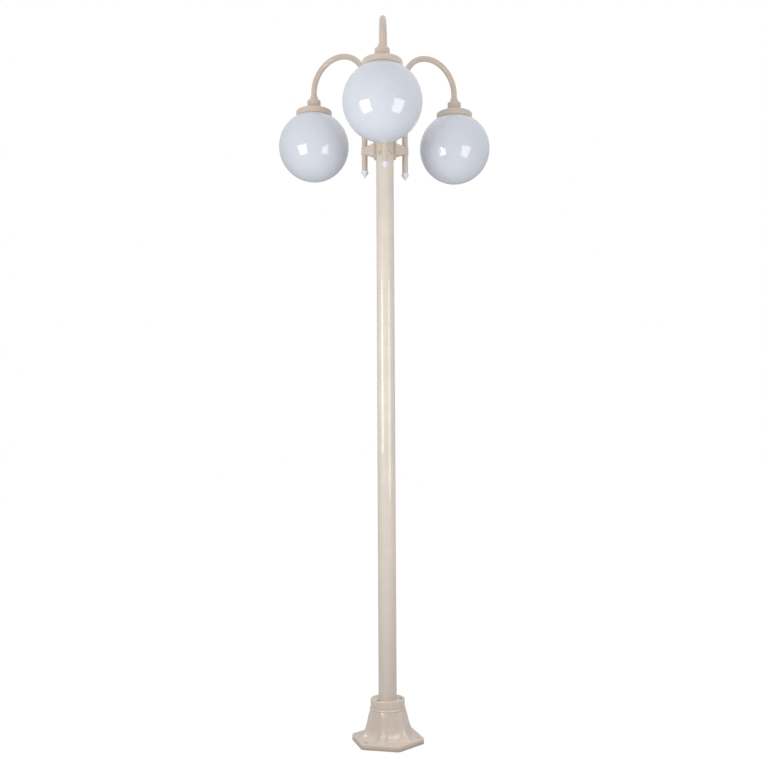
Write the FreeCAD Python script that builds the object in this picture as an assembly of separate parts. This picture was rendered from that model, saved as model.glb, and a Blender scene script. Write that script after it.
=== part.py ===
import FreeCAD, Part
import math
import os

# Triple head lamp post, standing on its base.
# Frame: origin on the ground at the pole's axis, +Z up, millimetres.
# The front arm points along -Y, the other two stand 120 degrees round from it.
# Azimuths are degrees from +X, counted towards +Y.

# ---- Pole ----
POLE_OD = 60.0
POLE_WALL = 2.5
POLE_TOP_Z = 2028.0
POLE_SLIP = 0.2              # radial room between the pole and what is slipped over it
POLE_TAIL = 2.0              # pole below the foot plate
POLE_CAP_RISE = 11.0
POLE_CAP_LIP = 2.5
POLE_CAP_PLUG_LENGTH = 12.0
POLE_CAP_PLUG_WALL = 3.0

# ---- Base casting ----
BASE_TURN = -13.0            # azimuth of the first corner of the hexagonal foot
BASE_HEIGHT = 139.0
BASE_FACES = 6
FOOT_ACROSS_FLATS = 212.0
FOOT_THICKNESS = 18.0
FOOT_CORNER_RADIUS = 16.0
FOOT_EDGE_RADIUS = 3.0
FOOT_WALL = 7.0              # wall of the hollow foot, seen from below
FOOT_SKIN = 6.0              # metal above the hollow of the foot
COLLAR_OD = 112.0
COLLAR_EDGE_RADIUS = 3.0
COLLAR_BAND = 23.0           # plain band under the top face
GROOVE_WIDTH = 2.0
GROOVE_DEPTH = 1.4
BEAD_WIDTH = 8.0
BEAD_BULGE = 1.6
BEAD_FOOT_OD = 117.0
BEAD_STEP = 0.8              # bell's top, in from the bead's foot
TOP_PLATE_THICKNESS = 10.0
COLLAR_INNER_OD = 100.0      # hollow inside the collar
BELL_INNER_FOOT_OD = 156.0   # hollow where the bell meets the foot
HOLLOW_STRAIGHT_SHARE = 0.2  # share of the bell, from its top, where the hollow is straight
HOLLOW_FLARE_SHARE = 0.42    # bow of the hollow's flank, per width of its flare
BELL_CREST_POWER = 3         # higher is a narrower ridge
BELL_POINTS_PER_FACE = 8
RIDGE_FOOT_SETBACK = 4.0     # ridge's end, in from the flat of the foot
ANCHOR_COUNT = 3
ANCHOR_PCD = 205.0
ANCHOR_HOLE_OD = 11.0
ANCHOR_PAD_OD = 25.0

# ---- Foot plate on the pole, its screws, and the wiring pieces under it ----
FOOT_PLATE_OD = 99.0
FOOT_PLATE_THICKNESS = 8.0
BASE_SCREW_PCD = 88.0
BASE_SCREW_OD = 6.0
BASE_SCREW_HEAD_OD = 12.0
BASE_SCREW_LENGTH = 24.0
SCREW_ROOM = 0.2             # radial room round a screw's shank
HEX_KEY = 4.0
HEX_KEY_DEPTH = 2.4
TERMINAL_LENGTH = 34.0
TERMINAL_WIDTH = 13.0
TERMINAL_HEIGHT = 20.0
TERMINAL_INNER_GAP = 2.0     # from the pole's wall to the terminal block
TERMINAL_WAYS = 3
WIRE_HOLE_OD = 5.0
EARTH_SCREW_OD = 6.0
EARTH_HEAD_FLATS = 10.0
EARTH_HEAD_HEIGHT = 4.0
EARTH_WASHER_OD = 14.0
EARTH_WASHER_THICKNESS = 1.6

# ---- Arms ----
ARM_AZIMUTH = {"front": -90.0, "right": 30.0, "left": 150.0}
ARM_SWIVEL = {"front": -1.8, "right": 1.7, "left": 0.0}   # as set in its boss, about the leg
FRONT_LIFT = -2.0            # as set in its boss, along the leg
RIGHT_LIFT = -6.0
LEFT_LIFT = 3.0
TUBE_OD = 20.0
TUBE_WALL = 2.0
LEG_REACH = 81.0             # pole axis to the arm's inner leg
ARM_REACH = 294.0            # pole axis to the globe's axis
GLOBE_CENTRE_Z = 2037.0
SPRING_RISE = 202.0          # globe's centre to the straight legs' upper ends
LEG_TAIL = 61.0              # inner leg below the bracket's boss

# ---- Finial under the inner leg ----
FINIAL_SIDES = 6
FINIAL_TURN = 30.0           # a flat side looks along the arm
FINIAL_TOP_OD = 23.0
FINIAL_WIDEST_OD = 27.0
FINIAL_TIP_OD = 1.6
FINIAL_SHOULDER = 6.5
FINIAL_POINT = 18.0
FINIAL_STEM_LENGTH = 14.0
TUBE_PLUG_ROOM = 0.1

# ---- Bracket that carries an arm ----
BRACKET_Z = 1987.0           # middle of the boss
BOSS_OD = 24.0
BOSS_HEIGHT = 25.0
BOSS_RUN = 0.06              # radial clearance of the arm's leg in the boss
SADDLE_THICKNESS = 8.5
SADDLE_HALF_ANGLE = 42.0
SADDLE_DROP = 38.0           # saddle below the boss's middle
SADDLE_RISE = 34.0           # saddle above the boss's middle
SADDLE_CORNER_RADIUS = 10.0
WEB_ROOT_SETBACK = 1.0       # web's inner end, out from the saddle's bore
WEB_ROOT_WIDTH = 36.0
WEB_ROOT_DROP = 32.0
WEB_ROOT_RISE = 19.0
WEB_TIP_WIDTH = 18.0
WEB_TIP_DROP = 12.0
WEB_TIP_RISE = 13.0
WEB_EDGE_RADIUS = 4.0
CABLE_WAY_OD = 9.0
SADDLE_SCREW_OD = 5.0
SADDLE_SCREW_HEAD_OD = 9.5
SADDLE_SCREW_HEAD_HEIGHT = 2.8
SADDLE_SCREW_SIDE_HEIGHT = 0.7
SADDLE_SCREW_CROWN_OD = 5.2
SADDLE_SCREW_CROWN_BULGE = 0.3
SADDLE_SCREW_ANGLE = 27.0
SADDLE_SCREW_EDGE = 9.5      # screw's axis in from the saddle's ends
SADDLE_SCREW_SEAT = 0.7      # depth of the flat under the head
SADDLE_SCREW_BEYOND = 2.0    # screw past the pole's wall
SADDLE_SCREW_KEY = 3.0
SADDLE_SCREW_KEY_DEPTH = 1.6
GRUB_OD = 4.0
GRUB_SETBACK = 0.1           # grub screw's outer end under the boss's skin
GRUB_KEY = 2.0
GRUB_KEY_DEPTH = 0.9

# ---- Globe and its neck ----
GLOBE_OD = 250.0
GLOBE_WALL = 3.0
NECK_OD = 100.0
NECK_LENGTH = 12.4           # straight neck above the ball
NECK_ROOM = 0.3              # radial room between the neck and its socket

# ---- Cap over the neck ----
CAP_OD = 128.0
CAP_WALL = 3.0
CAP_SEAT_OVER_NECK = 15.0    # coupler's seat above the neck's end
CAP_SHOULDER_DROP = 11.5     # dome's edge under the coupler's seat
CAP_SHOULDER_OD = 120.0
CAP_SKIRT_DROP = 16.5        # straight skirt's top under the coupler's seat
CAP_SHOULDER_BULGE = 1.3
CAP_SEAT_MARGIN = 0.5        # flat seat past the coupler's rim
CAP_RIM_ROOM = 0.5           # between the cap's rim and the globe
SOCKET_WALL = 3.5
SEAL_THICKNESS = 2.5
SEAL_ROOM = 0.3
SEAT_RING_WIDTH = 6.0

# ---- Coupler between the arm and the cap ----
COUPLER_OD = 48.0
COUPLER_RING_HEIGHT = 28.0
COUPLER_EDGE_RADIUS = 2.0
COUPLER_NECK_OD = 28.0
COUPLER_TOP_OD = 25.0
COUPLER_SHOULDER_HEIGHT = 7.0
COUPLER_NECK_HEIGHT = 9.0
COUPLER_SHOULDER_HOLLOW = 2.2
COUPLER_FLOOR = 15.0
TUBE_SOCKET_ROOM = 0.1

# ---- Threaded nipple, its nut, lampholder and lamp ----
NIPPLE_OD = 10.0
NIPPLE_BORE = 7.0
NIPPLE_UP = 13.0             # nipple above the cap's seat
NIPPLE_ROOM = 0.1
NUT_FLATS = 17.0
NUT_HEIGHT = 5.0
HOLDER_NUT_GAP = 1.0         # from the nut down to the lampholder
HOLDER_OD = 40.0
HOLDER_HEIGHT = 48.0
HOLDER_DOME_HEIGHT = 9.0
HOLDER_TOP_OD = 18.0
HOLDER_ENTRY_DEPTH = 8.0
HOLDER_SOCKET_OD = 27.4
HOLDER_SOCKET_DEPTH = 26.0
HOLDER_LIP_RADIUS = 1.5
LAMP_BASE_OD = 26.2
LAMP_BASE_LENGTH = 24.0
LAMP_CONTACT_ROOM = 1.0
LAMP_CONTACT_OD = 9.0
LAMP_CONTACT_HEIGHT = 2.0
LAMP_SHOULDER_HEIGHT = 2.5
LAMP_THREAD_PITCH = 3.6
LAMP_THREAD_DEPTH = 1.0
LAMP_SHELL_WALL = 0.8
BULB_OD = 60.0
BULB_NECK_OD = 29.0
BULB_LENGTH = 80.0
BULB_COLLAR_LENGTH = 5.0
BULB_WALL = 1.0
BULB_STEM_OD = 18.0          # way through the bulb's flat top

# ---- Values worked out from the ones above ----
POLE_R = POLE_OD / 2
GLOBE_R = GLOBE_OD / 2
NECK_R = NECK_OD / 2
NECK_ROOT_RISE = math.sqrt(GLOBE_R ** 2 - NECK_R ** 2)
NECK_TOP_RISE = NECK_ROOT_RISE + NECK_LENGTH
CAP_R = CAP_OD / 2
CAP_SEAT_RISE = NECK_TOP_RISE + CAP_SEAT_OVER_NECK
CAP_SHOULDER_RISE = CAP_SEAT_RISE - CAP_SHOULDER_DROP
CAP_SKIRT_RISE = CAP_SEAT_RISE - CAP_SKIRT_DROP
COLLAR_R = COLLAR_OD / 2
BELL_TOP_R = BEAD_FOOT_OD / 2 - BEAD_STEP
SADDLE_R = POLE_R + POLE_SLIP + SADDLE_THICKNESS
SPRING_Z = GLOBE_CENTRE_Z + SPRING_RISE
ARM_LIFT = {"front": FRONT_LIFT, "right": RIGHT_LIFT, "left": LEFT_LIFT}
LEG_END_Z = BRACKET_Z - BOSS_HEIGHT / 2 - LEG_TAIL
BEND_R = (ARM_REACH - LEG_REACH) / 2
TUBE_SOCKET_RISE = CAP_SEAT_RISE + COUPLER_FLOOR
TOP_PLATE_Z = BASE_HEIGHT - TOP_PLATE_THICKNESS
FOOT_PLATE_Z = TOP_PLATE_Z - FOOT_PLATE_THICKNESS
BELL_TOP_Z = BASE_HEIGHT - COLLAR_BAND - GROOVE_WIDTH - BEAD_WIDTH
FLAT_AZIMUTH = BASE_TURN + 180.0 / BASE_FACES
EARTH_SCREW_R = (POLE_R + COLLAR_INNER_OD / 2) / 2
HOLDER_TOP_RISE = CAP_SEAT_RISE - CAP_WALL - NUT_HEIGHT - HOLDER_NUT_GAP
HOLDER_FOOT_RISE = HOLDER_TOP_RISE - HOLDER_HEIGHT
LAMP_TOP_RISE = HOLDER_FOOT_RISE + HOLDER_SOCKET_DEPTH - LAMP_CONTACT_ROOM
BULB_TOP_RISE = LAMP_TOP_RISE - LAMP_CONTACT_HEIGHT - LAMP_SHOULDER_HEIGHT - LAMP_BASE_LENGTH

QUARTER_BULGE = 1 - math.sqrt(0.5)   # rise of a quarter circle over its chord, per radius
SAME = 0.01                  # lengths nearer to each other than this are the same
ORIGIN = FreeCAD.Vector(0, 0, 0)
X_AXIS = FreeCAD.Vector(1, 0, 0)
Y_AXIS = FreeCAD.Vector(0, 1, 0)
Z_AXIS = FreeCAD.Vector(0, 0, 1)


# ---------------------------------------------------------------- helpers

def at(radius, height):
    """A point of a turned part's half section, in the plane y = 0."""
    return FreeCAD.Vector(radius, 0, height)


def line(start, end):
    return Part.makeLine(start, end)


def bulged(start, end, bulge):
    """An arc from start to end in the plane y = 0; a positive bulge lies to the left of the way."""
    way = end - start
    side = FreeCAD.Vector(-way.z, 0, way.x).normalize()
    middle = (start + end) * 0.5 + side * bulge
    return Part.Arc(start, middle, end).toShape()


def ball_centre(start, end):
    """Height of the centre, on the z axis, of a ball whose surface holds both points."""
    return (start.x ** 2 - end.x ** 2 + start.z ** 2 - end.z ** 2) / (2 * (start.z - end.z))


def ball_arc(start, end):
    """An arc about a centre on the z axis, so that it turns into a piece of a ball."""
    centre = at(0, ball_centre(start, end))
    middle = (start - centre) + (end - centre)
    middle = centre + middle.normalize() * (start - centre).Length
    return Part.Arc(start, middle, end).toShape()


def polyline(*points):
    """Straight edges through the points, in order."""
    return [line(a, b) for a, b in zip(points, points[1:])]


def turn(edges):
    """A full turn of a closed half section about the z axis."""
    return Part.Face(Part.Wire(edges)).revolve(ORIGIN, Z_AXIS, 360)


def tube(outer_r, inner_r, low, high):
    outer = Part.makeCylinder(outer_r, high - low, at(0, low))
    inner = Part.makeCylinder(inner_r, high - low, at(0, low))
    return outer.cut(inner)


def polygon(sides, circumradius, height, first_azimuth=0.0):
    """A level closed polygon about the z axis."""
    corners = []
    for k in range(sides + 1):
        a = math.radians(first_azimuth + 360.0 * k / sides)
        corners.append(FreeCAD.Vector(circumradius * math.cos(a), circumradius * math.sin(a), height))
    return Part.Wire(polyline(*corners))


def prism(sides, across_flats, low, high, first_azimuth=0.0):
    circumradius = across_flats / 2 / math.cos(math.pi / sides)
    face = Part.Face(polygon(sides, circumradius, low, first_azimuth))
    return face.extrude(at(0, high - low))


def turned(shape, azimuth):
    """A copy of the shape, turned about the pole's axis."""
    copy = shape.copy()
    copy.rotate(ORIGIN, Z_AXIS, azimuth)
    return copy


def round_edges(shape, radius, chosen):
    """Rounds the edges for which chosen(edge) is true."""
    return shape.makeFillet(radius, [edge for edge in shape.Edges if chosen(edge)])


def edge_is_upright(edge):
    low = edge.BoundBox
    return low.XLength < SAME and low.YLength < SAME


def screw(shank_od, length, head, key, key_depth, head_top):
    """A screw along -Z whose head's underside is at z = 0, with a hexagonal key socket."""
    shank = Part.makeCylinder(shank_od / 2, length, at(0, -length))
    socket = prism(6, key, head_top - key_depth, head_top)
    return shank.fuse(head).cut(socket).removeSplitter()


def aimed(shape, position, inward):
    """Turns a screw made along -Z so that it points along inward, with its head's seat at position."""
    copy = shape.copy()
    copy.Placement = FreeCAD.Placement(position, FreeCAD.Rotation(Z_AXIS * -1, inward))
    return copy


# ---------------------------------------------------------------- base

def bell_section(height, ridge_r, panel_r):
    """A level closed curve with one rounded ridge at the middle of each flat of the foot."""
    count = BASE_FACES * BELL_POINTS_PER_FACE
    points = []
    for k in range(count):
        a = 2 * math.pi * k / count
        crest = ((1 + math.cos(BASE_FACES * a)) / 2) ** BELL_CREST_POWER
        r = panel_r + (ridge_r - panel_r) * crest
        around = a + math.radians(FLAT_AZIMUTH)
        points.append(FreeCAD.Vector(r * math.cos(around), r * math.sin(around), height))
    curve = Part.BSplineCurve()
    curve.interpolate(points, PeriodicFlag=True)
    return Part.Wire(curve.toShape())


def bell_body():
    """The flared bell: round under the collar, six ridges and hollow panels at the foot."""
    ridge_foot = FOOT_ACROSS_FLATS / 2 - RIDGE_FOOT_SETBACK
    spread = ridge_foot - BELL_TOP_R
    rise = BELL_TOP_Z - FOOT_THICKNESS
    # Share of the bell's height, then the ridge's and the panel's share of the spread.
    flare = ((1.00, 0.00, 0.00),
             (0.85, 0.15, 0.04),
             (0.60, 0.27, 0.10),
             (0.35, 0.42, 0.17),
             (0.20, 0.58, 0.26),
             (0.07, 0.82, 0.42),
             (0.00, 1.00, 0.66))
    sections = []
    for share, ridge, panel in flare:
        height = FOOT_THICKNESS + share * rise
        sections.append(bell_section(height, BELL_TOP_R + ridge * spread, BELL_TOP_R + panel * spread))
    return Part.makeLoft(sections, True, False)


def collar():
    """The round collar: a plain band, a groove and a bead above the bell."""
    band_z = BASE_HEIGHT - COLLAR_BAND
    bead_z = band_z - GROOVE_WIDTH
    edge = COLLAR_EDGE_RADIUS
    groove_r = COLLAR_R - GROOVE_DEPTH
    rim = bulged(at(COLLAR_R, BASE_HEIGHT - edge), at(COLLAR_R - edge, BASE_HEIGHT), -edge * QUARTER_BULGE)
    bead_foot = at(BEAD_FOOT_OD / 2, BELL_TOP_Z)
    bead = bulged(bead_foot, at(groove_r, bead_z), -BEAD_BULGE)
    edges = polyline(at(COLLAR_R - edge, BASE_HEIGHT), at(0, BASE_HEIGHT), at(0, BELL_TOP_Z),
                     bead_foot)
    edges += [bead, line(at(groove_r, bead_z), at(groove_r, band_z)),
              line(at(groove_r, band_z), at(COLLAR_R, band_z)),
              line(at(COLLAR_R, band_z), at(COLLAR_R, BASE_HEIGHT - edge)), rim]
    return turn(edges)


def foot():
    """The hexagonal foot, with rounded corners and a rounded upper edge."""
    block = prism(BASE_FACES, FOOT_ACROSS_FLATS, 0, FOOT_THICKNESS, BASE_TURN)
    block = round_edges(block, FOOT_CORNER_RADIUS, edge_is_upright)

    def upper(edge):
        return edge.BoundBox.ZMin > FOOT_THICKNESS - SAME

    return round_edges(block, FOOT_EDGE_RADIUS, upper)


def base_hollow():
    """The open space inside the casting, with the hollow under the foot."""
    inner_r = COLLAR_INNER_OD / 2
    foot_r = BELL_INNER_FOOT_OD / 2
    roof_z = FOOT_THICKNESS - FOOT_SKIN
    straight_z = BELL_TOP_Z - (BELL_TOP_Z - FOOT_THICKNESS) * HOLLOW_STRAIGHT_SHARE
    flank = bulged(at(inner_r, straight_z), at(foot_r, roof_z), -(foot_r - inner_r) * HOLLOW_FLARE_SHARE)
    edges = polyline(at(0, 0), at(0, TOP_PLATE_Z), at(inner_r, TOP_PLATE_Z), at(inner_r, straight_z))
    edges += [flank] + polyline(at(foot_r, roof_z), at(foot_r, 0), at(0, 0))
    bell = turn(edges)
    under = prism(BASE_FACES, FOOT_ACROSS_FLATS - 2 * FOOT_WALL, 0, roof_z, BASE_TURN)
    for azimuth in anchor_azimuths():
        pad = Part.makeCylinder(ANCHOR_PAD_OD / 2, roof_z, at(ANCHOR_PCD / 2, 0))
        under = under.cut(turned(pad, azimuth))
    return bell.fuse(under)


def anchor_azimuths():
    return [BASE_TURN + 360.0 * k / ANCHOR_COUNT for k in range(ANCHOR_COUNT)]


def base_casting():
    casting = collar().fuse([bell_body(), foot()])
    casting = casting.cut(base_hollow())
    casting = casting.cut(Part.makeCylinder(POLE_R + POLE_SLIP, TOP_PLATE_THICKNESS, at(0, TOP_PLATE_Z)))
    head_depth = (BASE_SCREW_HEAD_OD - BASE_SCREW_OD) / 2
    for azimuth in anchor_azimuths():
        anchor = Part.makeCylinder(ANCHOR_HOLE_OD / 2, FOOT_THICKNESS, at(ANCHOR_PCD / 2, 0))
        shank = Part.makeCylinder(BASE_SCREW_OD / 2 + SCREW_ROOM, TOP_PLATE_THICKNESS,
                                  at(BASE_SCREW_PCD / 2, TOP_PLATE_Z))
        sink = Part.makeCone(BASE_SCREW_OD / 2 + SCREW_ROOM, BASE_SCREW_HEAD_OD / 2 + SCREW_ROOM,
                             head_depth, at(BASE_SCREW_PCD / 2, BASE_HEIGHT - head_depth))
        casting = casting.cut([turned(hole, azimuth) for hole in (anchor, shank, sink)])
    return casting


def base_screws():
    """Three countersunk screws that hold the casting down on the pole's foot plate."""
    head_depth = (BASE_SCREW_HEAD_OD - BASE_SCREW_OD) / 2
    head = Part.makeCone(BASE_SCREW_OD / 2, BASE_SCREW_HEAD_OD / 2, head_depth, at(0, -head_depth))
    one = screw(BASE_SCREW_OD, BASE_SCREW_LENGTH, head, HEX_KEY, HEX_KEY_DEPTH, 0)
    one.translate(at(BASE_SCREW_PCD / 2, BASE_HEIGHT))
    return Part.makeCompound([turned(one, azimuth) for azimuth in anchor_azimuths()])


def foot_plate():
    """The round plate welded on the pole under the collar's top."""
    plate = tube(FOOT_PLATE_OD / 2, POLE_R, FOOT_PLATE_Z, TOP_PLATE_Z)
    for azimuth in anchor_azimuths():
        tapped = Part.makeCylinder(BASE_SCREW_OD / 2, FOOT_PLATE_THICKNESS,
                                   at(BASE_SCREW_PCD / 2, FOOT_PLATE_Z))
        plate = plate.cut(turned(tapped, azimuth))
    earth = Part.makeCylinder(EARTH_SCREW_OD / 2, FOOT_PLATE_THICKNESS, at(EARTH_SCREW_R, FOOT_PLATE_Z))
    return plate.cut(turned(earth, BASE_TURN + 180.0 / ANCHOR_COUNT))


def terminal_block():
    """The mains terminal block, under the foot plate and beside the pole's open end."""
    inner = POLE_R + TERMINAL_INNER_GAP
    corner = FreeCAD.Vector(inner, -TERMINAL_LENGTH / 2, FOOT_PLATE_Z - TERMINAL_HEIGHT)
    block = Part.makeBox(TERMINAL_WIDTH, TERMINAL_LENGTH, TERMINAL_HEIGHT, corner)
    pitch = TERMINAL_LENGTH / TERMINAL_WAYS
    for way in range(TERMINAL_WAYS):
        y = (way - (TERMINAL_WAYS - 1) / 2) * pitch
        wire = Part.makeCylinder(WIRE_HOLE_OD / 2, TERMINAL_WIDTH,
                                 FreeCAD.Vector(inner, y, FOOT_PLATE_Z - TERMINAL_HEIGHT / 2), X_AXIS)
        clamp = Part.makeCylinder(WIRE_HOLE_OD / 2, TERMINAL_HEIGHT / 2,
                                  FreeCAD.Vector(inner + TERMINAL_WIDTH / 2, y, FOOT_PLATE_Z - TERMINAL_HEIGHT))
        block = block.cut([wire, clamp])
    return turned(block, BASE_TURN + 180.0)


def earth_screw():
    """The earth screw with its washer, under the foot plate."""
    washer_z = FOOT_PLATE_Z - EARTH_WASHER_THICKNESS
    shank = Part.makeCylinder(EARTH_SCREW_OD / 2, FOOT_PLATE_THICKNESS, at(0, FOOT_PLATE_Z))
    washer = Part.makeCylinder(EARTH_WASHER_OD / 2, EARTH_WASHER_THICKNESS, at(0, washer_z))
    head = prism(6, EARTH_HEAD_FLATS, washer_z - EARTH_HEAD_HEIGHT, washer_z)
    one = shank.fuse([washer, head])
    one.translate(at(EARTH_SCREW_R, 0))
    return turned(one, BASE_TURN + 180.0 / ANCHOR_COUNT)


# ---------------------------------------------------------------- pole

def saddle_screw_places():
    """Azimuth from the arm and height of each screw of one saddle."""
    low = BRACKET_Z - SADDLE_DROP + SADDLE_SCREW_EDGE
    high = BRACKET_Z + SADDLE_RISE - SADDLE_SCREW_EDGE
    return [(side * SADDLE_SCREW_ANGLE, z) for side in (-1, 1) for z in (low, high)]


def radial_hole(hole_od, azimuth, z, start_r, end_r):
    hole = Part.makeCylinder(hole_od / 2, end_r - start_r, at(start_r, z), X_AXIS)
    return turned(hole, azimuth)


def pole():
    """The steel pole, with tapped holes for the saddles and a cable hole behind each."""
    body = tube(POLE_R, POLE_R - POLE_WALL, FOOT_PLATE_Z - POLE_TAIL, POLE_TOP_Z)
    inside = POLE_R - 2 * POLE_WALL
    outside = POLE_R + POLE_WALL
    holes = []
    for azimuth in ARM_AZIMUTH.values():
        holes.append(radial_hole(CABLE_WAY_OD, azimuth, BRACKET_Z, inside, outside))
        for turn_by, z in saddle_screw_places():
            holes.append(radial_hole(SADDLE_SCREW_OD, azimuth + turn_by, z, inside, outside))
    return body.cut(holes)


def pole_cap():
    """A low domed cap that closes the pole's top, with a hollow plug inside the pole."""
    plug_r = POLE_R - POLE_WALL - TUBE_PLUG_ROOM
    plug_z = POLE_TOP_Z - POLE_CAP_PLUG_LENGTH
    bore_r = plug_r - POLE_CAP_PLUG_WALL
    lip_z = POLE_TOP_Z + POLE_CAP_LIP
    dome = ball_arc(at(POLE_R, lip_z), at(0, POLE_TOP_Z + POLE_CAP_RISE))
    edges = polyline(at(0, POLE_TOP_Z + POLE_CAP_RISE), at(0, POLE_TOP_Z), at(bore_r, POLE_TOP_Z),
                     at(bore_r, plug_z), at(plug_r, plug_z), at(plug_r, POLE_TOP_Z),
                     at(POLE_R, POLE_TOP_Z), at(POLE_R, lip_z))
    return turn(edges + [dome])


# ---------------------------------------------------------------- brackets

def rounded_rectangle(x, width, low, high):
    """An upright closed section of the web at distance x, with rounded corners."""
    r = WEB_EDGE_RADIUS
    half = width / 2
    centres = ((half - r, high - r), (r - half, high - r), (r - half, low + r), (half - r, low + r))
    arcs = []
    for quarter, (y, z) in enumerate(centres):
        rim = []
        for angle in (0, 45, 90):
            a = math.radians(90 * quarter + angle)
            rim.append(FreeCAD.Vector(x, y + r * math.cos(a), z + r * math.sin(a)))
        arcs.append(rim)
    edges = []
    for k, rim in enumerate(arcs):
        edges.append(Part.Arc(*rim).toShape())
        edges.append(line(rim[-1], arcs[(k + 1) % len(arcs)][0]))
    return Part.Wire(edges)


def saddle():
    """The curved plate that lies on the pole."""
    inner_r = POLE_R + POLE_SLIP
    low = BRACKET_Z - SADDLE_DROP
    high = BRACKET_Z + SADDLE_RISE
    section = Part.Face(Part.Wire(polyline(at(inner_r, low), at(SADDLE_R, low), at(SADDLE_R, high),
                                           at(inner_r, high), at(inner_r, low))))
    section.rotate(ORIGIN, Z_AXIS, -SADDLE_HALF_ANGLE)
    plate = section.revolve(ORIGIN, Z_AXIS, 2 * SADDLE_HALF_ANGLE)

    def corner(edge):
        return edge.BoundBox.ZLength < SAME and abs(edge.Length - SADDLE_THICKNESS) < SAME

    return round_edges(plate, SADDLE_CORNER_RADIUS, corner)


def bracket():
    """A casting with a saddle on the pole, a tapering web and a boss round the arm's leg."""
    root_x = POLE_R + POLE_SLIP + WEB_ROOT_SETBACK
    web = Part.makeLoft([
        rounded_rectangle(root_x, WEB_ROOT_WIDTH, BRACKET_Z - WEB_ROOT_DROP, BRACKET_Z + WEB_ROOT_RISE),
        rounded_rectangle(LEG_REACH, WEB_TIP_WIDTH, BRACKET_Z - WEB_TIP_DROP, BRACKET_Z + WEB_TIP_RISE),
    ], True, True)
    boss = Part.makeCylinder(BOSS_OD / 2, BOSS_HEIGHT, at(LEG_REACH, BRACKET_Z - BOSS_HEIGHT / 2))
    casting = saddle().fuse([web, boss])
    leg = Part.makeCylinder(TUBE_OD / 2 + BOSS_RUN, SADDLE_DROP + SADDLE_RISE,
                            at(LEG_REACH, BRACKET_Z - SADDLE_DROP))
    cuts = [leg, radial_hole(CABLE_WAY_OD, 0, BRACKET_Z, POLE_R, LEG_REACH),
            radial_hole(GRUB_OD, 0, BRACKET_Z, LEG_REACH, LEG_REACH + BOSS_OD)]
    seat_r = SADDLE_R - SADDLE_SCREW_SEAT
    for turn_by, z in saddle_screw_places():
        cuts.append(radial_hole(SADDLE_SCREW_OD + 2 * SCREW_ROOM, turn_by, z, POLE_R, SADDLE_R))
        cuts.append(radial_hole(SADDLE_SCREW_HEAD_OD + 4 * SCREW_ROOM, turn_by, z, seat_r, SADDLE_R + POLE_R))
    return casting.cut(cuts)


def button_head():
    """A domed screw head standing on z = 0."""
    r = SADDLE_SCREW_HEAD_OD / 2
    top_r = SADDLE_SCREW_CROWN_OD / 2
    side = SADDLE_SCREW_SIDE_HEIGHT
    crown = bulged(at(r, side), at(top_r, SADDLE_SCREW_HEAD_HEIGHT), -SADDLE_SCREW_CROWN_BULGE)
    edges = polyline(at(top_r, SADDLE_SCREW_HEAD_HEIGHT), at(0, SADDLE_SCREW_HEAD_HEIGHT), ORIGIN,
                     at(r, 0), at(r, side))
    return turn(edges + [crown])


def bracket_screws():
    """The screws that hold the three saddles on the pole."""
    seat_r = SADDLE_R - SADDLE_SCREW_SEAT
    length = seat_r - (POLE_R - POLE_WALL) + SADDLE_SCREW_BEYOND
    one = screw(SADDLE_SCREW_OD, length, button_head(), SADDLE_SCREW_KEY, SADDLE_SCREW_KEY_DEPTH,
                SADDLE_SCREW_HEAD_HEIGHT)
    screws = []
    for azimuth in ARM_AZIMUTH.values():
        for turn_by, z in saddle_screw_places():
            screws.append(turned(aimed(one, at(seat_r, z), X_AXIS * -1), azimuth + turn_by))
    return Part.makeCompound(screws)


def grub_screws():
    """One grub screw in each boss, which clamps the arm's leg."""
    length = BOSS_OD / 2 - GRUB_SETBACK - TUBE_OD / 2 - BOSS_RUN
    shank = Part.makeCylinder(GRUB_OD / 2, length, at(0, -length))
    one = shank.cut(prism(6, GRUB_KEY, -GRUB_KEY_DEPTH, 0))
    seated = aimed(one, at(LEG_REACH + BOSS_OD / 2 - GRUB_SETBACK, BRACKET_Z), X_AXIS * -1)
    return Part.makeCompound([turned(seated, azimuth) for azimuth in ARM_AZIMUTH.values()])


# ---------------------------------------------------------------- arms

def arm_tube():
    """The bent tube: an inner leg through the boss, a half circle and a short outer leg."""
    ring = Part.Face(Part.Wire(Part.makeCircle(TUBE_OD / 2, at(LEG_REACH, SPRING_Z))))
    ring = ring.cut(Part.Face(Part.Wire(Part.makeCircle(TUBE_OD / 2 - TUBE_WALL, at(LEG_REACH, SPRING_Z)))))
    ring = ring.Faces[0]
    inner_leg = ring.extrude(at(0, LEG_END_Z - SPRING_Z))
    bend = ring.revolve(at(LEG_REACH + BEND_R, SPRING_Z), Y_AXIS, 180)
    outer_ring = ring.copy()
    outer_ring.translate(at(2 * BEND_R, 0))
    outer_leg = outer_ring.extrude(at(0, GLOBE_CENTRE_Z + TUBE_SOCKET_RISE - SPRING_Z))
    pipe = inner_leg.fuse([bend, outer_leg]).removeSplitter()
    return pipe.cut(radial_hole(CABLE_WAY_OD, 0, BRACKET_Z, POLE_R, LEG_REACH))


def finial():
    """A six-sided double cone with a round stem in the tube's end."""
    levels = ((LEG_END_Z - FINIAL_SHOULDER - FINIAL_POINT, FINIAL_TIP_OD),
              (LEG_END_Z - FINIAL_SHOULDER, FINIAL_WIDEST_OD),
              (LEG_END_Z, FINIAL_TOP_OD))
    wires = [polygon(FINIAL_SIDES, across / 2, z, FINIAL_TURN) for z, across in levels]
    drop = Part.makeLoft(wires, True, True)
    stem_r = TUBE_OD / 2 - TUBE_WALL - TUBE_PLUG_ROOM
    drop = drop.fuse(Part.makeCylinder(stem_r, FINIAL_STEM_LENGTH, at(0, LEG_END_Z)))
    drop.translate(at(LEG_REACH, 0))
    return drop


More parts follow.
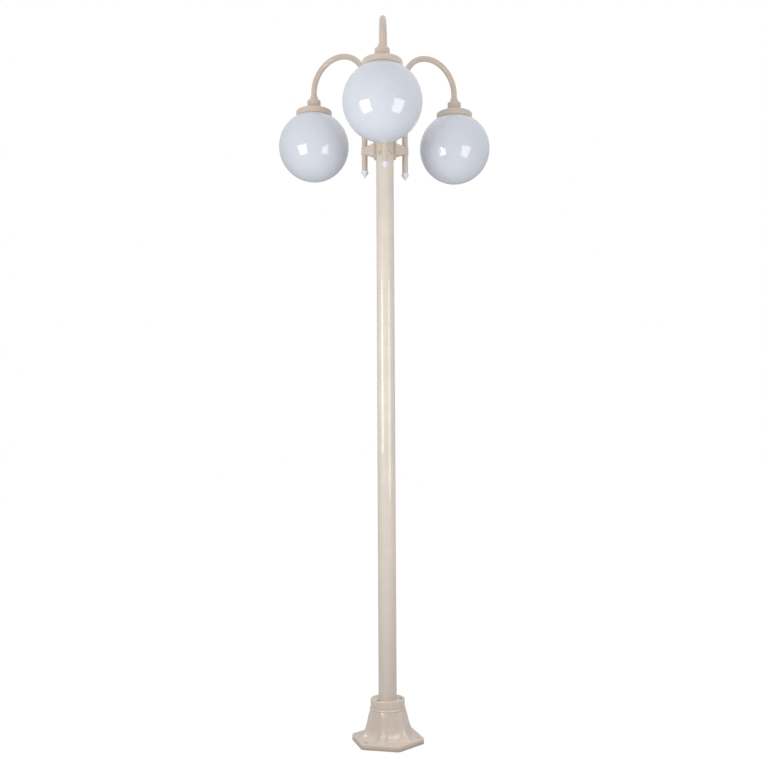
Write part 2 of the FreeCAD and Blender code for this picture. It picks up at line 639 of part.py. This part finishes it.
# ---------------------------------------------------------------- pieces on the globe's axis
# These are made about the globe's centre and then put on the arm's end.

def coupler():
    """The turned coupler that joins the arm's outer leg to the cap."""
    low = CAP_SEAT_RISE
    ring_top = low + COUPLER_RING_HEIGHT
    neck_z = ring_top + COUPLER_SHOULDER_HEIGHT
    top = neck_z + COUPLER_NECK_HEIGHT
    ring_r = COUPLER_OD / 2
    edge = COUPLER_EDGE_RADIUS
    socket_r = TUBE_OD / 2 + TUBE_SOCKET_ROOM
    nipple_r = NIPPLE_OD / 2 + NIPPLE_ROOM
    rounded = bulged(at(ring_r, ring_top - edge), at(ring_r - edge, ring_top), -edge * QUARTER_BULGE)
    shoulder = bulged(at(ring_r - edge, ring_top), at(COUPLER_NECK_OD / 2, neck_z), COUPLER_SHOULDER_HOLLOW)
    edges = polyline(at(nipple_r, low), at(ring_r, low), at(ring_r, ring_top - edge))
    edges += [rounded, shoulder]
    edges += polyline(at(COUPLER_NECK_OD / 2, neck_z), at(COUPLER_TOP_OD / 2, top), at(socket_r, top),
                      at(socket_r, TUBE_SOCKET_RISE), at(nipple_r, TUBE_SOCKET_RISE), at(nipple_r, low))
    return turn(edges)


def cap_dome_ends():
    return at(COUPLER_OD / 2 + CAP_SEAT_MARGIN, CAP_SEAT_RISE), at(CAP_SHOULDER_OD / 2, CAP_SHOULDER_RISE)


def globe_cap():
    """The domed cap over the globe's neck, with the neck's socket inside it."""
    seat, shoulder = cap_dome_ends()
    wall = at(CAP_WALL, 0)
    down = at(0, -CAP_WALL)
    hole_r = NIPPLE_OD / 2 + NIPPLE_ROOM
    skirt = at(CAP_R, CAP_SKIRT_RISE)
    inner_seat = seat + down
    inner_shoulder = shoulder - wall + down
    inner_skirt = skirt - wall + down
    rim_z = NECK_R
    edges = polyline(at(hole_r, inner_seat.z), at(hole_r, seat.z), seat)
    edges += [ball_arc(seat, shoulder), bulged(shoulder, skirt, CAP_SHOULDER_BULGE)]
    edges += polyline(skirt, at(skirt.x, rim_z), at(inner_skirt.x, rim_z), inner_skirt)
    edges += [bulged(inner_skirt, inner_shoulder, -CAP_SHOULDER_BULGE / 2), ball_arc(inner_shoulder, inner_seat)]
    edges += [line(inner_seat, at(hole_r, inner_seat.z))]
    shell = turn(edges)
    globe_room = Part.makeSphere(GLOBE_R + CAP_RIM_ROOM)
    return shell.fuse(neck_socket()).cut(globe_room)


def neck_socket():
    """The ring under the cap's dome that takes the neck, with a seat for the seal."""
    seat, shoulder = cap_dome_ends()
    socket_r = NECK_R + NECK_ROOM
    outer_r = socket_r + SOCKET_WALL
    seat_z = NECK_TOP_RISE + SEAL_ROOM + SEAL_THICKNESS
    centre = at(0, ball_centre(seat, shoulder))
    within_dome = Part.makeSphere((seat - centre).Length - CAP_WALL / 2, centre)
    ring = tube(outer_r, socket_r - SEAT_RING_WIDTH, seat_z, CAP_SEAT_RISE)
    ring = ring.fuse(tube(outer_r, socket_r, GLOBE_R * math.cos(math.asin(outer_r / GLOBE_R)), seat_z))
    return ring.common(within_dome)


def seal():
    """The rubber ring between the neck's end and its socket."""
    low = NECK_TOP_RISE + SEAL_ROOM
    return tube(NECK_R, NECK_R - GLOBE_WALL, low, low + SEAL_THICKNESS)


def globe():
    """The hollow globe with its straight open neck."""
    inner_r = GLOBE_R - GLOBE_WALL
    neck_inner = NECK_R - GLOBE_WALL
    inner_root = math.sqrt(inner_r ** 2 - neck_inner ** 2)
    outside = Part.Arc(at(0, -GLOBE_R), at(GLOBE_R, 0), at(NECK_R, NECK_ROOT_RISE)).toShape()
    inside = Part.Arc(at(neck_inner, inner_root), at(inner_r, 0), at(0, -inner_r)).toShape()
    edges = [line(at(0, -inner_r), at(0, -GLOBE_R)), outside]
    edges += polyline(at(NECK_R, NECK_ROOT_RISE), at(NECK_R, NECK_TOP_RISE), at(neck_inner, NECK_TOP_RISE),
                      at(neck_inner, inner_root))
    return turn(edges + [inside])


def nipple():
    """The hollow threaded rod from the coupler to the lampholder."""
    low = HOLDER_TOP_RISE - HOLDER_ENTRY_DEPTH
    return tube(NIPPLE_OD / 2, NIPPLE_BORE / 2, low, CAP_SEAT_RISE + NIPPLE_UP)


def nipple_nut():
    """The nut that pulls the cap up against the coupler."""
    high = CAP_SEAT_RISE - CAP_WALL
    block = prism(6, NUT_FLATS, high - NUT_HEIGHT, high)
    return block.cut(Part.makeCylinder(NIPPLE_OD / 2, NUT_HEIGHT, at(0, high - NUT_HEIGHT)))


def lampholder():
    """The lampholder: a domed body with a screw socket open below."""
    r = HOLDER_OD / 2
    top = HOLDER_TOP_RISE
    side_top = top - HOLDER_DOME_HEIGHT
    entry_r = NIPPLE_OD / 2
    socket_r = HOLDER_SOCKET_OD / 2
    foot = HOLDER_FOOT_RISE
    lip = HOLDER_LIP_RADIUS
    dome = ball_arc(at(HOLDER_TOP_OD / 2, top), at(r, side_top))
    lip_arc = bulged(at(r, foot + lip), at(r - lip, foot), lip * QUARTER_BULGE)
    edges = polyline(at(0, top - HOLDER_ENTRY_DEPTH), at(entry_r, top - HOLDER_ENTRY_DEPTH), at(entry_r, top),
                     at(HOLDER_TOP_OD / 2, top))
    edges += [dome, line(at(r, side_top), at(r, foot + lip)), lip_arc]
    edges += polyline(at(r - lip, foot), at(socket_r, foot), at(socket_r, foot + HOLDER_SOCKET_DEPTH),
                      at(0, foot + HOLDER_SOCKET_DEPTH), at(0, top - HOLDER_ENTRY_DEPTH))
    return turn(edges)


def lamp_base():
    """The lamp's metal screw base, with rolled thread rings and a centre contact."""
    root_r = LAMP_BASE_OD / 2 - LAMP_THREAD_DEPTH
    bore_r = root_r - LAMP_SHELL_WALL
    contact_r = LAMP_CONTACT_OD / 2
    contact_z = LAMP_TOP_RISE - LAMP_CONTACT_HEIGHT
    shell_top = contact_z - LAMP_SHOULDER_HEIGHT
    corners = [at(0, shell_top), at(0, LAMP_TOP_RISE), at(contact_r, LAMP_TOP_RISE),
               at(contact_r, contact_z), at(root_r, shell_top)]
    for ring in range(int(LAMP_BASE_LENGTH / LAMP_THREAD_PITCH)):
        crest_z = shell_top - (ring + 0.5) * LAMP_THREAD_PITCH
        corners += [at(LAMP_BASE_OD / 2, crest_z), at(root_r, crest_z - LAMP_THREAD_PITCH / 2)]
    corners += [at(root_r, BULB_TOP_RISE), at(bore_r, BULB_TOP_RISE), at(bore_r, shell_top), at(0, shell_top)]
    return turn(polyline(*corners))


def bulb_form(inset, top_rise):
    """The bulb's form, drawn in from its outer surface by inset: a collar, a flank and the round end."""
    r = BULB_OD / 2 - inset
    centre_z = BULB_TOP_RISE - BULB_LENGTH + BULB_OD / 2
    neck = at(BULB_NECK_OD / 2 - inset, BULB_TOP_RISE - BULB_COLLAR_LENGTH)
    reach = math.hypot(neck.x, neck.z - centre_z)
    touch = math.atan2(neck.z - centre_z, neck.x) - math.acos(r / reach)
    start = at(r * math.cos(touch), centre_z + r * math.sin(touch))
    middle = at(r * math.sqrt(0.5), centre_z - r * math.sqrt(0.5))
    round_end = Part.Arc(start, middle, at(0, centre_z - r)).toShape()
    edges = polyline(at(0, centre_z - r), at(0, top_rise), at(neck.x, top_rise), neck, start)
    return turn(edges + [round_end])


def lamp_bulb():
    """The lamp's thin bulb, whose flat top stands against the metal base's rim."""
    inner_top = BULB_TOP_RISE - BULB_WALL
    stem = Part.makeCylinder(BULB_STEM_OD / 2, BULB_WALL, at(0, inner_top))
    return bulb_form(0, BULB_TOP_RISE).cut([bulb_form(BULB_WALL, inner_top), stem])


# ---------------------------------------------------------------- output

LEG_PIECES = {"arm_tube": arm_tube, "finial": finial}
GLOBE_PIECES = {"coupler": coupler, "globe_cap": globe_cap, "seal": seal, "globe": globe,
                "nipple": nipple, "nipple_nut": nipple_nut, "lampholder": lampholder,
                "lamp_base": lamp_base, "lamp_bulb": lamp_bulb}
POST_PIECES = {"base_casting": base_casting, "base_screws": base_screws, "foot_plate": foot_plate,
               "terminal_block": terminal_block, "earth_screw": earth_screw, "pole": pole,
               "pole_cap": pole_cap, "bracket_screws": bracket_screws, "grub_screws": grub_screws}


def export(shape, name):
    shape.exportStep("parts/" + name + ".step")


def set_in_boss(shape, side):
    """A copy of a piece of an arm, swivelled and lifted as the arm is set in its boss."""
    copy = shape.copy()
    copy.rotate(at(LEG_REACH, 0), Z_AXIS, ARM_SWIVEL[side])
    copy.translate(at(0, ARM_LIFT[side]))
    return copy


def build():
    os.makedirs("parts", exist_ok=True)
    for name, make in POST_PIECES.items():
        export(make(), name)
    casting = bracket()
    leg_pieces = {name: make() for name, make in LEG_PIECES.items()}
    globe_pieces = {name: make() for name, make in GLOBE_PIECES.items()}
    for shape in globe_pieces.values():
        shape.translate(at(ARM_REACH, GLOBE_CENTRE_Z))
    for side, azimuth in ARM_AZIMUTH.items():
        export(turned(casting, azimuth), "bracket_" + side)
        for name, shape in {**leg_pieces, **globe_pieces}.items():
            export(turned(set_in_boss(shape, side), azimuth), name + "_" + side)


build()
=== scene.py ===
import math

import bpy
from mathutils import Matrix, Vector

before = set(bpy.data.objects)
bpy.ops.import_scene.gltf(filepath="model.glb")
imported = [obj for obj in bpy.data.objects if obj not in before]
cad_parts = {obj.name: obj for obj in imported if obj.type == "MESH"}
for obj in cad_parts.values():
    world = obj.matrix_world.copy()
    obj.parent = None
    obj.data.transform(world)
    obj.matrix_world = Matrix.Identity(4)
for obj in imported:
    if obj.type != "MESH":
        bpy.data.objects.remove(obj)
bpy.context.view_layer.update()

SIDES = ("front", "right", "left")

# Every length in this script is in metres, and every angle in radians.
ORANGE_PEEL = 0.00012
PLASTIC_GRAIN = 0.00006
TURNING_MARKS = (1.0, 1.0, 14.0)        # fine along Z, as left by a lathe
NO_SOIL = (-2.0, -1.0)                  # heights under the ground
POST_SOIL = (0.05, 0.72)                # heights between which the soil fades
# heights between which the painted shade on the base's flange edge fades
BASE_PAINTED_SHADE = (0.003, 0.014)
FLOOR_SIZE = 30.0
FLOOR_GAP = 0.0006                      # the floor lies just under the foot
FLOOR_TONE = 0.6
FLOOR_GLOW = 1.1
FLOOR_GLOW_SHARE = 0.86                 # to the camera alone; the rest keeps the shadow
ROOM_TINT = (0.98, 0.97, 1.0)
HORIZON_LIGHT = 0.44
ZENITH_LIGHT = 1.0
CAMERA_PLACE = (0.0, -3.1258, 0.9375)
CAMERA_LENS = 43.623                    # millimetres, as is the sensor's width
CAMERA_SENSOR = 36.0
CAMERA_YAW = 0.0022
CAMERA_PITCH = 0.0752
CAMERA_ROLL = 0.005
LEFT_BOX = {"place": (-1.10, -1.11, 1.38), "aim": (0.0, -0.1, 1.45),
            "width": 0.80, "height": 0.88, "watts": 12.5}
RIGHT_BOX = {"place": (1.14, -1.25, 1.28), "aim": (0.0, -0.1, 1.40),
             "width": 0.87, "height": 1.14, "watts": 10.5}


# ---------------------------------------------------------------- material nodes

class Surface:
    """One procedural material on a Principled shader, in the object's own coordinates."""

    def __init__(self, name):
        self.material = bpy.data.materials.new(name)
        self.material.use_nodes = True
        self.nodes = self.material.node_tree.nodes
        self.links = self.material.node_tree.links
        self.shader = self.nodes["Principled BSDF"]
        self.place = self.nodes.new("ShaderNodeTexCoord").outputs["Object"]

    def fixed(self, **values):
        """Constant values, set on the shader's own sockets."""
        for socket, value in values.items():
            self.shader.inputs[socket.replace("_", " ")].default_value = value

    def link(self, source, socket):
        self.links.new(source, self.shader.inputs[socket])

    def noise(self, scale, detail=3.0, roughness=0.5, stretch=None):
        """A noise value; stretch scales the coordinates along X, Y and Z."""
        node = self.nodes.new("ShaderNodeTexNoise")
        node.inputs["Scale"].default_value = scale
        node.inputs["Detail"].default_value = detail
        node.inputs["Roughness"].default_value = roughness
        self.links.new(self.stretched(stretch) if stretch else self.place, node.inputs["Vector"])
        return node.outputs["Fac"]

    def cells(self, scale):
        """Distance to the middle of random cells."""
        node = self.nodes.new("ShaderNodeTexVoronoi")
        node.inputs["Scale"].default_value = scale
        self.links.new(self.place, node.inputs["Vector"])
        return node.outputs["Distance"]

    def stretched(self, stretch):
        node = self.nodes.new("ShaderNodeMapping")
        node.inputs["Scale"].default_value = stretch
        self.links.new(self.place, node.inputs["Vector"])
        return node.outputs["Vector"]

    def height(self):
        node = self.nodes.new("ShaderNodeSeparateXYZ")
        self.links.new(self.place, node.inputs["Vector"])
        return node.outputs["Z"]

    def ramp(self, source, low, high, to_low=0.0, to_high=1.0):
        """Maps source from low..high to to_low..to_high with soft ends."""
        node = self.nodes.new("ShaderNodeMapRange")
        node.interpolation_type = "SMOOTHSTEP"
        self.links.new(source, node.inputs["Value"])
        values = {"From Min": low, "From Max": high, "To Min": to_low, "To Max": to_high}
        for socket, value in values.items():
            node.inputs[socket].default_value = value
        return node.outputs["Result"]

    def mix(self, share, first, second):
        """A colour between first and second, each a colour or a node's output."""
        node = self.nodes.new("ShaderNodeMix")
        node.data_type = "RGBA"
        self.links.new(share, node.inputs["Factor"])
        first_colour, second_colour = node.inputs[6], node.inputs[7]
        for socket, value in ((first_colour, first), (second_colour, second)):
            if isinstance(value, tuple):
                socket.default_value = (*value, 1.0)
            else:
                self.links.new(value, socket)
        mixed_colour = node.outputs[2]
        return mixed_colour

    def product(self, first, second):
        node = self.nodes.new("ShaderNodeMath")
        node.operation = "MULTIPLY"
        self.links.new(first, node.inputs[0])
        self.links.new(second, node.inputs[1])
        return node.outputs["Value"]

    def bump(self, height, distance, strength=1.0, under=None):
        """A bump from a height value, over another bump if one is given."""
        node = self.nodes.new("ShaderNodeBump")
        node.inputs["Distance"].default_value = distance
        node.inputs["Strength"].default_value = strength
        self.links.new(height, node.inputs["Height"])
        if under:
            self.links.new(under, node.inputs["Normal"])
        return node.outputs["Normal"]


def linear(red, green, blue):
    """A display colour, 0 to 255, as the shader's linear colour."""
    def channel(value):
        value /= 255
        return value / 12.92 if value <= 0.04045 else ((value + 0.055) / 1.055) ** 2.4
    return channel(red), channel(green), channel(blue)


def powder_coat(name, colour, soil_and_shade, soil_and_shade_heights, cast=0.0):
    """Powder coat with uneven tone and a darker colour near the ground, which is soil on the post and
    painted shade on the base's flange edge; cast is the depth of a casting's rough skin.
    """
    s = Surface(name)
    pale = tuple(min(1.0, c * 1.03) for c in colour)
    deep = tuple(c * 0.965 for c in colour)
    tone = s.mix(s.ramp(s.noise(14.0, 4.0, 0.6), 0.35, 0.65), deep, pale)
    specks = s.ramp(s.cells(620.0), 0.0, 0.16, 0.35, 0.0)
    tone = s.mix(specks, tone, tuple(c * 0.72 for c in colour))
    streaks = s.ramp(s.noise(24.0, 5.0, 0.65, (1.0, 1.0, 0.06)), 0.42, 0.7, 0.0, 0.35)
    # Darker near the ground: soil on the post, painted shade on the base's flange edge, with darker streaks
    # in that band.
    near_ground = s.ramp(s.height(), *soil_and_shade_heights, 1.0, 0.0)
    tone = s.mix(near_ground, tone, soil_and_shade)
    tone = s.mix(s.product(streaks, near_ground), tone, tuple(c * 0.8 for c in soil_and_shade))
    s.link(tone, "Base Color")
    s.link(s.ramp(s.noise(60.0, 4.0), 0.3, 0.7, 0.26, 0.38), "Roughness")
    fine = s.bump(s.noise(900.0, 2.0), ORANGE_PEEL)
    if cast:
        fine = s.bump(s.noise(110.0, 3.0), cast, 1.0, fine)
    s.link(fine, "Normal")
    s.fixed(IOR=1.5, Specular_IOR_Level=0.35, Coat_Weight=0.8, Coat_Roughness=0.05, Coat_IOR=1.5)
    return s.material


def opal(name):
    """Moulded opal acrylic: milky, glossy, with faint flow marks and dust."""
    s = Surface(name)
    colour = linear(219, 221, 229)
    milk = s.mix(s.ramp(s.noise(5.0, 3.0), 0.3, 0.7), colour, tuple(c * 0.975 for c in colour))
    dust = s.ramp(s.cells(240.0), 0.0, 0.06, 0.25, 0.0)
    s.link(s.mix(dust, milk, linear(205, 203, 200)), "Base Color")
    s.link(s.ramp(s.noise(30.0, 4.0), 0.3, 0.7, 0.07, 0.11), "Roughness")
    s.link(s.bump(s.noise(18.0, 2.0), 0.0003, 0.5), "Normal")
    s.fixed(IOR=1.49, Coat_Weight=0.7, Coat_Roughness=0.03, Coat_IOR=1.5,
            Subsurface_Weight=0.12, Subsurface_Scale=0.02)
    return s.material


def clear_white(name):
    """White moulded plastic of the finials, slightly blue and very glossy."""
    s = Surface(name)
    colour = linear(240, 243, 249)
    s.link(s.mix(s.noise(90.0, 4.0), colour, tuple(c * 0.86 for c in colour)), "Base Color")
    s.link(s.ramp(s.noise(160.0, 3.0), 0.3, 0.7, 0.12, 0.24), "Roughness")
    s.link(s.bump(s.noise(260.0, 2.0), 0.0001), "Normal")
    s.fixed(IOR=1.5, Coat_Weight=1.0, Coat_Roughness=0.03)
    return s.material


def metal(name, colour, tarnish, rough=(0.28, 0.5)):
    """Bare metal with turning marks and dull patches."""
    s = Surface(name)
    worn = s.ramp(s.noise(150.0, 5.0, 0.65), 0.42, 0.66)
    s.link(s.mix(worn, colour, tarnish), "Base Color")
    s.link(s.ramp(s.noise(320.0, 4.0), 0.3, 0.7, *rough), "Roughness")
    s.link(s.bump(s.noise(420.0, 3.0, 0.6, TURNING_MARKS), 0.00008), "Normal")
    s.fixed(Metallic=1.0)
    return s.material


def moulded(name, colour, rough=(0.35, 0.55)):
    """Matt moulded plastic or rubber with a fine grain."""
    s = Surface(name)
    s.link(s.mix(s.noise(70.0, 4.0), colour, tuple(c * 0.85 for c in colour)), "Base Color")
    s.link(s.ramp(s.noise(200.0, 3.0), 0.3, 0.7, *rough), "Roughness")
    s.link(s.bump(s.cells(1500.0), PLASTIC_GRAIN), "Normal")
    s.fixed(IOR=1.5)
    return s.material


def lamp_glass(name):
    """The lamp's white-coated glass."""
    s = Surface(name)
    s.link(s.mix(s.noise(40.0, 3.0), (0.88, 0.87, 0.83), (0.80, 0.79, 0.75)), "Base Color")
    s.link(s.ramp(s.noise(90.0), 0.3, 0.7, 0.08, 0.16), "Roughness")
    s.link(s.bump(s.noise(200.0, 2.0), 0.00004), "Normal")
    s.fixed(IOR=1.52, Coat_Weight=0.6, Coat_Roughness=0.03)
    return s.material


# ---------------------------------------------------------------- materials

SOIL = linear(200, 185, 169)
coat = powder_coat("paint_post", linear(218, 208, 195), linear(206, 194, 181), POST_SOIL)
arm_coat = powder_coat("paint_arm", linear(213, 198, 182), SOIL, NO_SOIL)
cast_coat = powder_coat("paint_bracket", linear(214, 200, 185), SOIL, NO_SOIL, cast=0.00018)
# Below 14 mm the base's paint darkens to a painted shade on the flange's edge.
# The base's paint is darker than the post's, as painted shade for the weaker light near the ground.
base_coat = powder_coat("paint_base", linear(207, 193, 178), linear(180, 163, 149), BASE_PAINTED_SHADE, cast=0.0003)
globe_opal = opal("opal_acrylic")
finial_white = clear_white("finial_plastic")
dark_steel = metal("screw_steel", linear(120, 110, 98), linear(82, 70, 60))
zinc = metal("screw_zinc", linear(214, 208, 198), linear(188, 180, 168))
brass = metal("brass", linear(196, 165, 104), linear(140, 112, 70))
lamp_shell = metal("lamp_shell", linear(196, 196, 192), linear(160, 158, 150), (0.2, 0.36))
holder = moulded("holder_plastic", linear(228, 225, 216))
rubber = moulded("seal_rubber", linear(46, 46, 48), (0.5, 0.7))
glass = lamp_glass("lamp_glass")

FINISH = {
    "base_casting": base_coat,
    "base_screws": dark_steel,
    "foot_plate": coat,
    "terminal_block": holder,
    "earth_screw": brass,
    "pole": coat,
    "pole_cap": arm_coat,
    "bracket_screws": zinc,
    "grub_screws": zinc,
    "bracket": cast_coat,
    "arm_tube": arm_coat,
    "finial": finial_white,
    "coupler": arm_coat,
    "globe_cap": arm_coat,
    "seal": rubber,
    "globe": globe_opal,
    "nipple": brass,
    "nipple_nut": brass,
    "lampholder": holder,
    "lamp_base": lamp_shell,
    "lamp_bulb": glass,
}


def kind_of(node):
    """A node's name without the side it stands on."""
    stem, _, side = node.rpartition("_")
    return stem if side in SIDES else node


for name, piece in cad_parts.items():
    for material_slot in piece.material_slots:
        material_slot.material = FINISH[kind_of(name)]


# ---------------------------------------------------------------- stage, light and camera

def make_floor():
    """A pale floor that lies just under the foot and stays white to the camera but for its shadow."""
    bpy.ops.mesh.primitive_plane_add(size=FLOOR_SIZE, location=(0, 0, -FLOOR_GAP))
    floor = bpy.context.object
    floor.name = "floor"
    material = bpy.data.materials.new("floor")
    material.use_nodes = True
    tree = material.node_tree
    tree.nodes.clear()
    diffuse = tree.nodes.new("ShaderNodeBsdfDiffuse")
    diffuse.inputs["Color"].default_value = (FLOOR_TONE, FLOOR_TONE, FLOOR_TONE, 1.0)
    glow = tree.nodes.new("ShaderNodeEmission")
    glow.inputs["Strength"].default_value = FLOOR_GLOW
    path = tree.nodes.new("ShaderNodeLightPath")
    share = tree.nodes.new("ShaderNodeMath")
    share.operation = "MULTIPLY"
    share.inputs[1].default_value = FLOOR_GLOW_SHARE
    blend = tree.nodes.new("ShaderNodeMixShader")
    output = tree.nodes.new("ShaderNodeOutputMaterial")
    tree.links.new(path.outputs["Is Camera Ray"], share.inputs[0])
    tree.links.new(share.outputs[0], blend.inputs[0])
    tree.links.new(diffuse.outputs[0], blend.inputs[1])
    tree.links.new(glow.outputs[0], blend.inputs[2])
    tree.links.new(blend.outputs[0], output.inputs["Surface"])
    floor.data.materials.append(material)


def make_world():
    """White to the camera; on the part, soft light that is stronger from above."""
    world = bpy.data.worlds.new("studio")
    bpy.context.scene.world = world
    world.use_nodes = True
    tree = world.node_tree
    tree.nodes.clear()
    path = tree.nodes.new("ShaderNodeLightPath")
    either = tree.nodes.new("ShaderNodeMath")
    either.operation = "MAXIMUM"
    blend = tree.nodes.new("ShaderNodeMixShader")
    output = tree.nodes.new("ShaderNodeOutputWorld")
    room = tree.nodes.new("ShaderNodeBackground")
    room.inputs["Color"].default_value = (*ROOM_TINT, 1.0)
    heading = tree.nodes.new("ShaderNodeTexCoord")
    parts = tree.nodes.new("ShaderNodeSeparateXYZ")
    level = tree.nodes.new("ShaderNodeMapRange")
    level.inputs["To Min"].default_value = HORIZON_LIGHT
    level.inputs["To Max"].default_value = ZENITH_LIGHT
    tree.links.new(heading.outputs["Generated"], parts.inputs["Vector"])
    tree.links.new(parts.outputs["Z"], level.inputs["Value"])
    tree.links.new(level.outputs["Result"], room.inputs["Strength"])
    white = tree.nodes.new("ShaderNodeBackground")
    white.inputs["Strength"].default_value = 1.0
    white.inputs["Color"].default_value = (1.0, 1.0, 1.0, 1.0)
    tree.links.new(path.outputs["Is Camera Ray"], either.inputs[0])
    tree.links.new(path.outputs["Is Transmission Ray"], either.inputs[1])
    tree.links.new(either.outputs[0], blend.inputs[0])
    tree.links.new(room.outputs[0], blend.inputs[1])
    tree.links.new(white.outputs[0], blend.inputs[2])
    tree.links.new(blend.outputs[0], output.inputs["Surface"])


def softbox(name, place, aim, width, height, watts):
    """A rectangular studio light at place that faces aim."""
    light = bpy.data.lights.new(name, "AREA")
    light.shape = "RECTANGLE"
    light.size = width
    light.size_y = height
    light.energy = watts
    lamp = bpy.data.objects.new(name, light)
    bpy.context.scene.collection.objects.link(lamp)
    lamp.location = place
    lamp.rotation_euler = (Vector(aim) - Vector(place)).to_track_quat("-Z", "Y").to_euler()


def make_camera():
    """The photograph's view: nearly level, a little under half way up the post."""
    camera = bpy.data.cameras.new("camera")
    camera.sensor_width = CAMERA_SENSOR
    camera.lens = CAMERA_LENS
    viewer = bpy.data.objects.new("camera", camera)
    bpy.context.scene.collection.objects.link(viewer)
    turn = Matrix.Rotation(CAMERA_YAW, 3, "Z") @ Matrix.Rotation(CAMERA_PITCH, 3, "X")
    turn = turn @ Matrix.Rotation(CAMERA_ROLL, 3, "Y")
    viewer.rotation_euler = (turn @ Matrix.Rotation(math.pi / 2, 3, "X")).to_euler()
    viewer.location = CAMERA_PLACE
    bpy.context.scene.camera = viewer


make_floor()
make_world()
softbox("softbox_left", **LEFT_BOX)
softbox("softbox_right", **RIGHT_BOX)
make_camera()
bpy.context.scene.view_settings.view_transform = "Standard"
